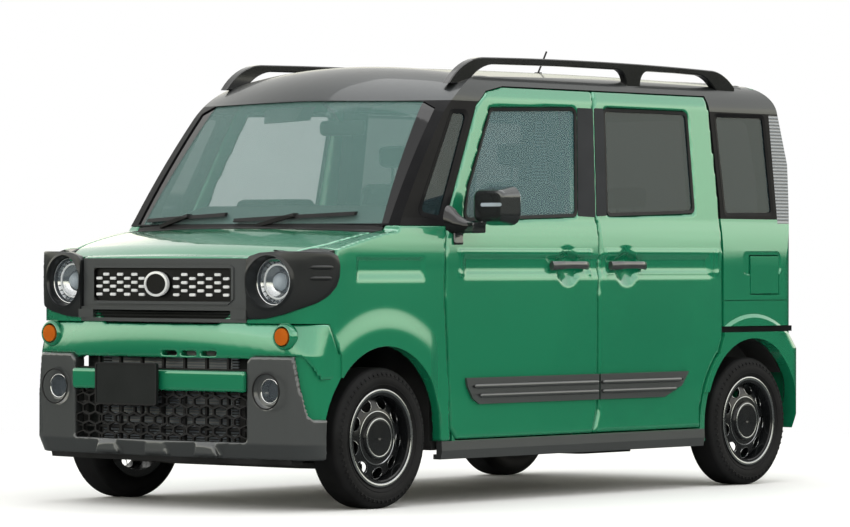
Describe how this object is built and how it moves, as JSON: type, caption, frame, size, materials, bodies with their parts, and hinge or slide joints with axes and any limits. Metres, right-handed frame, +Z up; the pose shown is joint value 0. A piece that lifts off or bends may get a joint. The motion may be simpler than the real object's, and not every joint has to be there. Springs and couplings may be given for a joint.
{
  "type": "tall wagon kei car",
  "caption": "Small tall-roofed wagon car with hinged front doors, hood, tailgate and fuel lid, turning and steering wheels, roof rails and a hollow furnished cabin.",
  "frame": {"origin": "on the ground, in the middle of the overall length and width", "axes": "+Z up, the nose towards -Y, the car's left side towards +X"},
  "size_m": [1.892, 3.395, 1.8736],
  "materials": {
    "body_paint": "gloss metallic green paint",
    "roof_paint": "dark grey metallic paint",
    "black_paint": "gloss black paint",
    "dark_trim": "grained dark grey plastic",
    "black_plastic": "matte black plastic",
    "grille_black": "gloss black plastic",
    "glass": "light green tint",
    "lamp_glass": "clear lens",
    "amber": "amber lens",
    "tyre": "tread rubber",
    "floor_steel": "satin primer",
    "cast": "cast surface",
    "engine": "cast aluminium",
    "cabin_plastic": "soft grained plastic",
    "seat_cloth": "woven cloth",
    "exhaust_steel": "dull steel"
  },
  "bodies": {
    "body": {"antenna": "black_plastic", "body_frame": "body_paint", "bumper_guard": "dark_trim", "cowl": "black_plastic", "dashboard": "cabin_plastic", "engine_block": "engine", "exhaust": "exhaust_steel", "floor_pan": "floor_steel", "fog_lamps": "lamp_glass", "front_bumper": "body_paint", "front_fenders": "body_paint", "front_seats": "seat_cloth", "front_suspension": "cast", "fuel_tank": "black_plastic", "grille": "grille_black", "headlamp_lenses": "lamp_glass", "headlamps": "grille_black", "indicators": "amber", "lower_grille": "black_plastic", "pillars": "grille_black", "radiator": "engine", "rear_axle": "cast", "rear_bumper": "body_paint", "rear_seat": "seat_cloth", "roof_panel": "roof_paint", "roof_rails": "black_plastic", "side_glass": "glass", "side_mouldings": "dark_trim", "sill_guards": "dark_trim", "sliding_door_glass": "glass", "sliding_doors": "body_paint", "tail_lamps": "lamp_glass", "windscreen": "glass", "wipers": "black_plastic"},
    "door_left": {"door_left": "body_paint", "door_glass_left": "glass", "mirror_left": "roof_paint", "door_moulding_left": "dark_trim"},
    "door_right": {"door_right": "body_paint", "door_glass_right": "glass", "mirror_right": "roof_paint", "door_moulding_right": "dark_trim"},
    "tailgate": {"tailgate": "body_paint", "tailgate_glass": "glass"},
    "hood": {"hood": "body_paint"},
    "fuel_lid": {"fuel_lid": "body_paint"},
    "steering_wheel": {"steering_wheel": "cabin_plastic"},
    "knuckle_left": {"knuckle_left": "cast"},
    "knuckle_right": {"knuckle_right": "cast"},
    "wheel_front_left": {"tyre_front_left": "tyre", "rim_front_left": "black_paint"},
    "wheel_front_right": {"tyre_front_right": "tyre", "rim_front_right": "black_paint"},
    "wheel_rear_left": {"tyre_rear_left": "tyre", "rim_rear_left": "black_paint"},
    "wheel_rear_right": {"tyre_rear_right": "tyre", "rim_rear_right": "black_paint"}
  },
  "joints": [
    {"name": "steer_left", "type": "hinge", "parent": "body", "child": "knuckle_left", "pos_m": [0.6, -1.172, 0.17], "axis": [-0.1878, 0, 0.9822], "range_deg": [-35, 35]},
    {"name": "steer_right", "type": "hinge", "parent": "body", "child": "knuckle_right", "pos_m": [-0.6, -1.172, 0.17], "axis": [0.1878, 0, 0.9822], "range_deg": [-35, 35]},
    {"name": "steering_turn", "type": "hinge", "parent": "body", "child": "steering_wheel", "pos_m": [-0.33, -0.343, 1.041], "axis": [0, 0.8829, 0.4695], "range_deg": [-540, 540]},
    {"name": "spin_front_left", "type": "hinge", "parent": "knuckle_left", "child": "wheel_front_left", "pos_m": [0.648, -1.172, 0.275], "axis": [1, 0, 0], "continuous": true},
    {"name": "spin_front_right", "type": "hinge", "parent": "knuckle_right", "child": "wheel_front_right", "pos_m": [-0.648, -1.172, 0.275], "axis": [1, 0, 0], "continuous": true},
    {"name": "spin_rear_left", "type": "hinge", "parent": "body", "child": "wheel_rear_left", "pos_m": [0.648, 1.288, 0.275], "axis": [1, 0, 0], "continuous": true},
    {"name": "spin_rear_right", "type": "hinge", "parent": "body", "child": "wheel_rear_right", "pos_m": [-0.648, 1.288, 0.275], "axis": [1, 0, 0], "continuous": true},
    {"name": "door_left_swing", "type": "hinge", "parent": "body", "child": "door_left", "pos_m": [0.731, -0.765, 0.7], "axis": [0, 0, -1], "range_deg": [0, 65]},
    {"name": "door_right_swing", "type": "hinge", "parent": "body", "child": "door_right", "pos_m": [-0.731, -0.765, 0.7], "axis": [0, 0, 1], "range_deg": [0, 65]},
    {"name": "tailgate_lift", "type": "hinge", "parent": "body", "child": "tailgate", "pos_m": [0, 1.47, 1.7525], "axis": [1, 0, 0], "range_deg": [0, 80]},
    {"name": "hood_lift", "type": "hinge", "parent": "body", "child": "hood", "pos_m": [0, -1.16, 1.0935], "axis": [-1, 0, 0], "range_deg": [0, 50]},
    {"name": "fuel_lid_swing", "type": "hinge", "parent": "body", "child": "fuel_lid", "pos_m": [0.738, 1.271, 0.906], "axis": [0, 0, -1], "range_deg": [0, 85]}
  ],
  "couplings": [
    {"joint": "steer_right", "follows": "steer_left", "ratio": 1},
    {"joint": "steering_turn", "follows": "steer_left", "ratio": 15}
  ]
}
